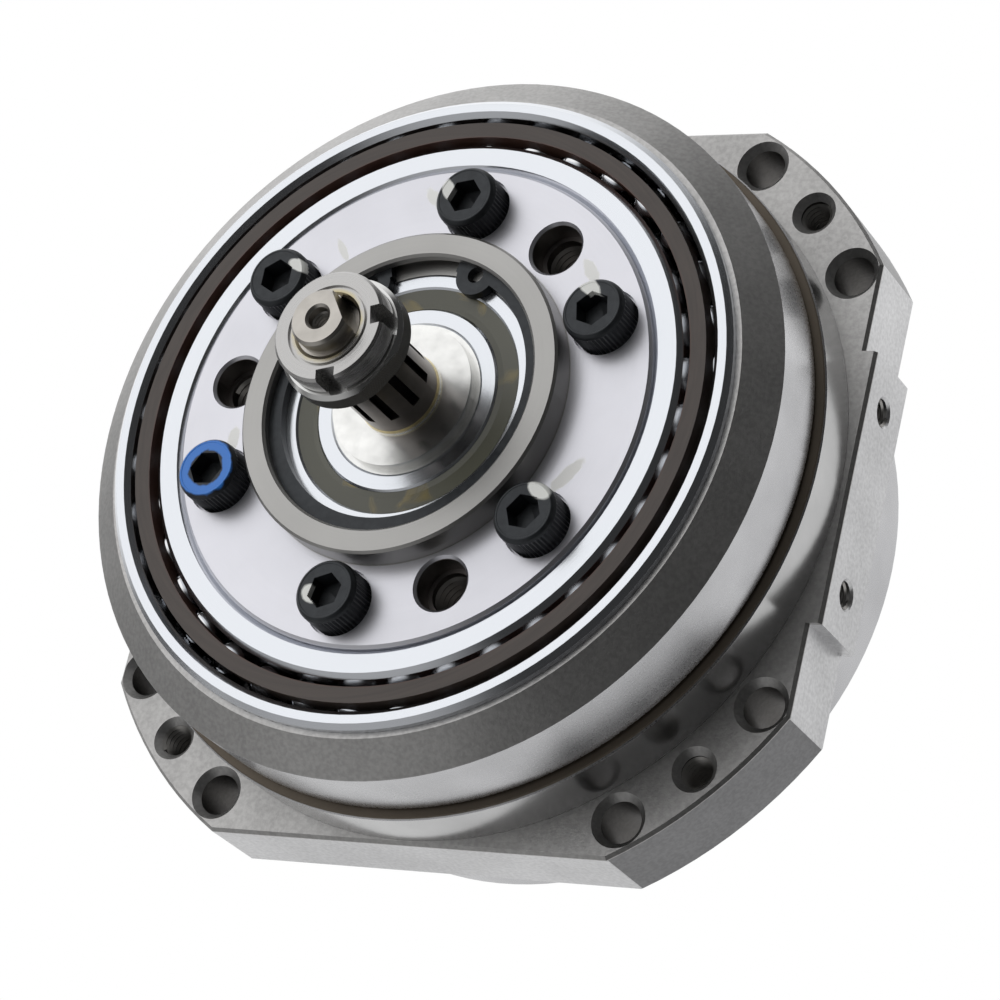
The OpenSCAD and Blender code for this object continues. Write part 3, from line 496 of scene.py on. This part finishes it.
blue = zone(tree, calc(tree, "MULTIPLY_ADD", smudge, 0.0012, blue), BLUE_IN, BLUE_OUT, 0.00015)
blue = calc(tree, "MULTIPLY", blue, calc(tree, "GREATER_THAN", height, screw_high.z - BLUE_DEPTH))
tint = tint_by(tree, cloud, "1D1F22", "3A3D40")
tint = tint_by(tree, blue, tint, "2F74C8")
feed(tree, shader, "Base Color", tint_by(tree, white, tint, "D9DAD6"))
painted = calc(tree, "MAXIMUM", blue, white)
feed(tree, shader, "Metallic", blend_by(tree, painted, 0.6, 0.0))
feed(tree, shader, "Roughness", ramp(tree, cloud, 0.26, 0.46))
emboss(tree, shader, cloud, 0.3, 0.00003)
dress(["front_retaining_ring", "rear_retaining_ring"], black_oxide)

turns = [Matrix.Rotation(math.radians(turn), 4, "Z") for turn in SOCKET_TURNS]
ways = [Matrix.Translation(spot) @ turn for spot, turn in zip(screw_spots, turns)]
for piece in place_copies(screw, "cap_screw", ways, black_oxide, "carrier"):
    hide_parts("carrier_bolt_set")

# ---- Threads ----
# A tap cut the threads of the screw holes in the case, the carrier and the shaft's end. Each is the
# ridge that the tap leaves standing, of the same steel as the piece that it is in.


def thread_ridge(radius, pitch, low, turns):
    """A ridge that winds up the wall of a hole of this radius from the height low."""
    REACH, SINK, SLIM, STEPS = 0.49, 0.12, 0.6, 24
    bpy.ops.object.select_all(action="DESELECT")
    bpy.ops.mesh.primitive_circle_add(vertices=3, radius=REACH * pitch,
                                      location=(radius - SINK * pitch, 0, low),
                                      rotation=(math.pi / 2, -math.pi / 2, 0))
    ridge = bpy.context.object
    settle(ridge)
    start_shaping()
    bpy.ops.mesh.select_all(action="SELECT")
    bpy.ops.transform.resize(value=(SLIM, 1, 1), center_override=(radius, 0, low))
    bpy.ops.object.mode_set(mode="OBJECT")
    wind = ridge.modifiers.new("wind", "SCREW")
    wind.axis = "Z"
    wind.screw_offset = pitch
    wind.iterations = turns
    wind.steps = wind.render_steps = STEPS
    bpy.ops.object.modifier_apply(modifier="wind")
    start_shaping()
    bpy.ops.mesh.select_mode(type="VERT")
    bpy.ops.mesh.select_all(action="SELECT")
    bpy.ops.mesh.remove_doubles(threshold=MM / 1000)
    bpy.ops.mesh.fill_holes(sides=0)
    bpy.ops.mesh.select_all(action="SELECT")
    bpy.ops.mesh.normals_make_consistent(inside=False)
    bpy.ops.object.mode_set(mode="OBJECT")
    bpy.ops.object.shade_smooth_by_angle(angle=math.radians(35))
    return ridge


def turned(first, step, count, out=0.0):
    """Places round the axis, a step in degrees apart, each moved outwards."""
    return [Matrix.Rotation(math.radians(first + step * number), 4, "Z") @ Matrix.Translation((out, 0, 0))
            for number in range(count)]


thread_steel, tree, shader = new_finish("tapped_steel", 1.0, 0.34, "9C9A97")
grain = noise(tree, add(tree, "TexCoord").outputs["Object"], 1500.0, 3.0)
feed(tree, shader, "Roughness", ramp(tree, grain, 0.24, 0.45))

# M6 in the flange.
ridge = thread_ridge(TAP_R, 0.0010, FLANGE_LOW + 0.0008, 11)
place_copies(ridge, "flange_thread", turned(FLANGE_TAP_TURN, LOBE_STEP, 4, FLANGE_RING),
             thread_steel, "case")

# M8 in the carrier, deep below a plain mouth.
CARRIER_TAP_R, CARRIER_THREAD_LOW = 0.0034, 0.0490
ridge = thread_ridge(CARRIER_TAP_R, 0.00125, CARRIER_THREAD_LOW, 5)
place_copies(ridge, "carrier_thread", turned(TAP_TURN, TAP_STEP, 3, TAP_RING),
             thread_steel, "carrier")

# M5 in the pads, two on each side.
PAD_TAP_R, PAD_THREAD_LOW, PAD_HALF_SPACING = 0.0021, 0.0552, 0.015
ridge = thread_ridge(PAD_TAP_R, 0.0008, PAD_THREAD_LOW, 7)
lie = Matrix.Translation((0, 0, (FLANGE_LOW + FLANGE_TOP) / 2)) @ Matrix.Rotation(math.pi / 2, 4, "Y")
place_copies(ridge, "pad_thread", [half @ Matrix.Translation((0, side * PAD_HALF_SPACING, 0)) @ lie
                                   for half in turned(0, 180, 2) for side in (-1, 1)],
             thread_steel, "case")

# M4 in the shaft's end.
END_TAP_R, END_THREAD_LOW = 0.0017, 0.0778
ridge = thread_ridge(END_TAP_R, 0.0007, END_THREAD_LOW, 14)
place_copies(ridge, "shaft_thread", [Matrix.Identity(4)], thread_steel, "input_shaft")

# ---- Input shaft ----
# Alloy steel, hardened and ground: two cams, bearing seats, a root disc polished bright, a pale ring
# at the neck's foot that is a painted highlight on the shoulder's edge, and a dark splined neck whose slots
# are painted shade.
ROOT_LOW, ROOT_TOP, FOOT_TOP = 0.0500, 0.0633, 0.0639
NECK_R, SPLINE_LOW, COLLAR_LOW = 0.0065, 0.0670, 0.0784
shaft_steel, tree, shader = new_finish("ground_shaft_steel", 1.0, 0.26, "A5A19C")
place, height, radius = lathe_places(tree)
root = zone(tree, height, ROOT_LOW, ROOT_TOP, 0.00003)
foot = zone(tree, height, ROOT_TOP, FOOT_TOP, 0.00003)
neck = zone(tree, height, FOOT_TOP, COLLAR_LOW, 0.0001)
slot = zone(tree, height, SPLINE_LOW, COLLAR_LOW, 0.0001)
slot = calc(tree, "MULTIPLY", slot, calc(tree, "LESS_THAN", radius, NECK_R - 0.00025))
tint = tint_by(tree, root, "B2AEA8", "DEDEDC")
# The pale foot ring is a painted highlight, and the near-black slots are painted shade.
for mask, colour in ((foot, "DDD3B4"), (neck, "857F7B"), (slot, "191817")):
    tint = tint_by(tree, mask, tint, colour)
shade = ramp(tree, noise(tree, place, 300.0, 4.0), 0.85, 1.06, 0.3, 0.7)
feed(tree, shader, "Base Color", scaled(tree, tint, shade))
feed(tree, shader, "Roughness", blend_by(tree, slot, blend_by(tree, root, 0.3, 0.24), 0.6))
emboss(tree, shader, lathe_lines(tree, 0.0002), blend_by(tree, root, 0.5, 0.05), 0.00002)
dress(["input_shaft"], shaft_steel)

# ---- Shaft collar ----
# A ring of blackened steel with two wrench flats, knurled finely all round, its front edge turned
# bright after blackening.
KNURLS_ROUND, KNURLS_ALONG = 150.0, 14000.0
collar_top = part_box("shaft_collar")[1].z
collar_steel, tree, shader = new_finish("dark_knurled_steel", 1.0, 0.3, "4C4B4A")
place, height, _ = lathe_places(tree)
parts = add(tree, "SeparateXYZ", {0: place})
turn = calc(tree, "ARCTAN2", parts.outputs["Y"], parts.outputs["X"])
ridges = calc(tree, "SINE", calc(tree, "MULTIPLY", turn, KNURLS_ROUND))
bands = calc(tree, "SINE", calc(tree, "MULTIPLY", height, KNURLS_ALONG))
bright = zone(tree, height, collar_top - 0.0007, collar_top + MM, 0.0001)
feed(tree, shader, "Base Color", tint_by(tree, bright, "55534F", "C9C9C8"))
feed(tree, shader, "Roughness", blend_by(tree, bright, 0.36, 0.16))
emboss(tree, shader, calc(tree, "MULTIPLY", ridges, bands), blend_by(tree, bright, 0.6, 0.0), 0.00004)
dress(["shaft_collar"], collar_steel)

# ---- Lock nut ----
# A slotted round nut of turned steel, a little straw coloured near its thread, where old oil dried.
THREAD_EDGE_IN, THREAD_EDGE_OUT = 0.0052, 0.0058
nut_steel, tree, shader = new_finish("bright_nut_steel", 1.0, 0.24, "D8D5CC")
place, _, radius = lathe_places(tree)
lines = lathe_lines(tree, 0.00015)
stain = ramp(tree, noise(tree, place, 180.0, 3.0), 0.0, 1.0, 0.5, 0.62)
stain = calc(tree, "MULTIPLY", zone(tree, radius, THREAD_EDGE_IN, THREAD_EDGE_OUT, 0.0004), stain)
feed(tree, shader, "Base Color", tint_by(tree, stain, "ADACAB", "B5A980"))
feed(tree, shader, "Roughness", ramp(tree, lines, 0.2, 0.36))
emboss(tree, shader, lines, 0.6, 0.00002)
dress(["lock_nut"], nut_steel)

# ---- Camera, floor and light ----
# A long lens looks down on the output side. A pale floor and sky give the plain background. Two soft
# lamps light the piece, and the sky and floor show themselves in the steel as a studio's screens do.
cam = bpy.data.objects.new("camera", bpy.data.cameras.new("camera"))
bpy.context.collection.objects.link(cam)
right = Vector((0.869127, 0.219306, -0.443310))
up = Vector((-0.018858, 0.910361, 0.413385))
back = Vector((0.494230, -0.350924, 0.795355))
stand = Vector((0.29272, -0.209611, 0.499809))
cam.matrix_world = Matrix.Translation(stand) @ Matrix((right, up, back)).transposed().to_4x4()
cam.data.lens = 135.76
cam.data.sensor_width = 36
cam.data.clip_start = 0.01
bpy.context.scene.camera = cam


def toward(tree, way, aim, start, end):
    """A mask that rises from 0 to 1 as a direction turns toward an aim."""
    return ramp(tree, vector(tree, "DOT_PRODUCT", way, aim), 0.0, 1.0, start, end, "SMOOTHSTEP")


def either(tree, rays, *kinds):
    """1 for a ray of any of these kinds, and 0 for the others."""
    mask = rays.outputs["Is %s Ray" % kinds[0]]
    for kind in kinds[1:]:
        mask = calc(tree, "MAXIMUM", mask, rays.outputs["Is %s Ray" % kind])
    return mask


# The sky: white to the eye. In the steel it is a bright screen above and behind, a dim one in front,
# and a pale band along the horizon that fades to the right.
SCREEN_WAY, FRONT_WAY, BAND_WAY = (-0.50, 0.36, 0.79), (-0.49, -0.79, 0.35), (-0.57, 0.82, 0)
SKY_DARK, SCREEN_GLOW, FRONT_GLOW = 0.04, 1.3, 0.5
scene = bpy.context.scene
scene.view_settings.view_transform = "Standard"
scene.world = bpy.data.worlds.new("studio")
scene.world.use_nodes = True
sky = scene.world.node_tree
sky.nodes.clear()
rays = add(sky, "LightPath")
way = add(sky, "TexCoord").outputs["Generated"]
level = vector(sky, "DOT_PRODUCT", way, SCREEN_WAY)
glow = ramp(sky, level, SKY_DARK, SCREEN_GLOW, 0.4, 0.95, "SMOOTHSTEP")
glow = blend_by(sky, toward(sky, way, FRONT_WAY, 0.7, 0.98), glow, FRONT_GLOW)
band = blend_by(sky, toward(sky, way, BAND_WAY, -0.5, 0.5), 0.25, 1.0)
horizon = zone(sky, add(sky, "SeparateXYZ", {0: way}).outputs["Z"], -0.2, 0.06, 0.06)
glow = blend_by(sky, horizon, glow, band)
glow = blend_by(sky, either(sky, rays, "Camera", "Transmission"), glow, 1.0)
ground = add(sky, "Background", {"Color": (1, 1, 1, 1), "Strength": glow})
add(sky, "OutputWorld", {"Surface": ground.outputs[0]})

# The floor: white paper. In the steel it is bright near the piece and behind it, and dark far out to
# the left and the right.
FAR_START, FAR_END = 0.16, 0.3
bpy.ops.mesh.primitive_plane_add(size=6, location=(0, 0, -0.0002))
floor = bpy.context.object
floor.name = "floor"
paper, tree, shader = new_finish("white_paper", 0.0, 0.9, "F4F4F4")
rays = add(tree, "LightPath")
spot = add(tree, "TexCoord").outputs["Object"]
way = vector(tree, "NORMALIZE", spot)
far = ramp(tree, vector(tree, "LENGTH", spot), 0.0, 1.0, FAR_START, FAR_END, "SMOOTHSTEP")
level = blend_by(tree, toward(tree, way, (0.2, -0.98, 0), -0.75, 0.7), 1.25, 0.85)
level = blend_by(tree, toward(tree, way, (1, 0.1, 0), 0.8, 0.98), level, 0.9)
for aim, start, end, dark in (((-1, -0.1, 0), 0.7, 0.95, 0.12), ((0.79, 0.61, 0), 0.4, 0.8, 0.15)):
    side = calc(tree, "MULTIPLY", toward(tree, way, aim, start, end), far)
    level = blend_by(tree, side, level, dark)
level = blend_by(tree, rays.outputs["Is Camera Ray"], level, 1.0)
glow = add(tree, "Emission", {"Strength": level})
share = either(tree, rays, "Camera", "Glossy", "Transmission")
both = add(tree, "MixShader", {0: share, 1: shader.outputs[0], 2: glow.outputs[0]})
tree.links.new(both.outputs[0], tree.nodes["Material Output"].inputs[0])
floor.data.materials.append(paper)


def soft_lamp(name, spot, size, power):
    """A square lamp that faces the piece and isn't itself seen in the steel."""
    lamp = bpy.data.objects.new(name, bpy.data.lights.new(name, "AREA"))
    bpy.context.collection.objects.link(lamp)
    lamp.location = spot
    lamp.rotation_euler = (Vector((0, 0, 0.04)) - Vector(spot)).to_track_quat("-Z", "Y").to_euler()
    lamp.data.size = size
    lamp.data.energy = power
    lamp.visible_glossy = False


soft_lamp("key", (-0.9, 0.1, 0.7), 0.6, 3)
soft_lamp("front", (-0.1, -0.9, 0.5), 0.6, 1.5)
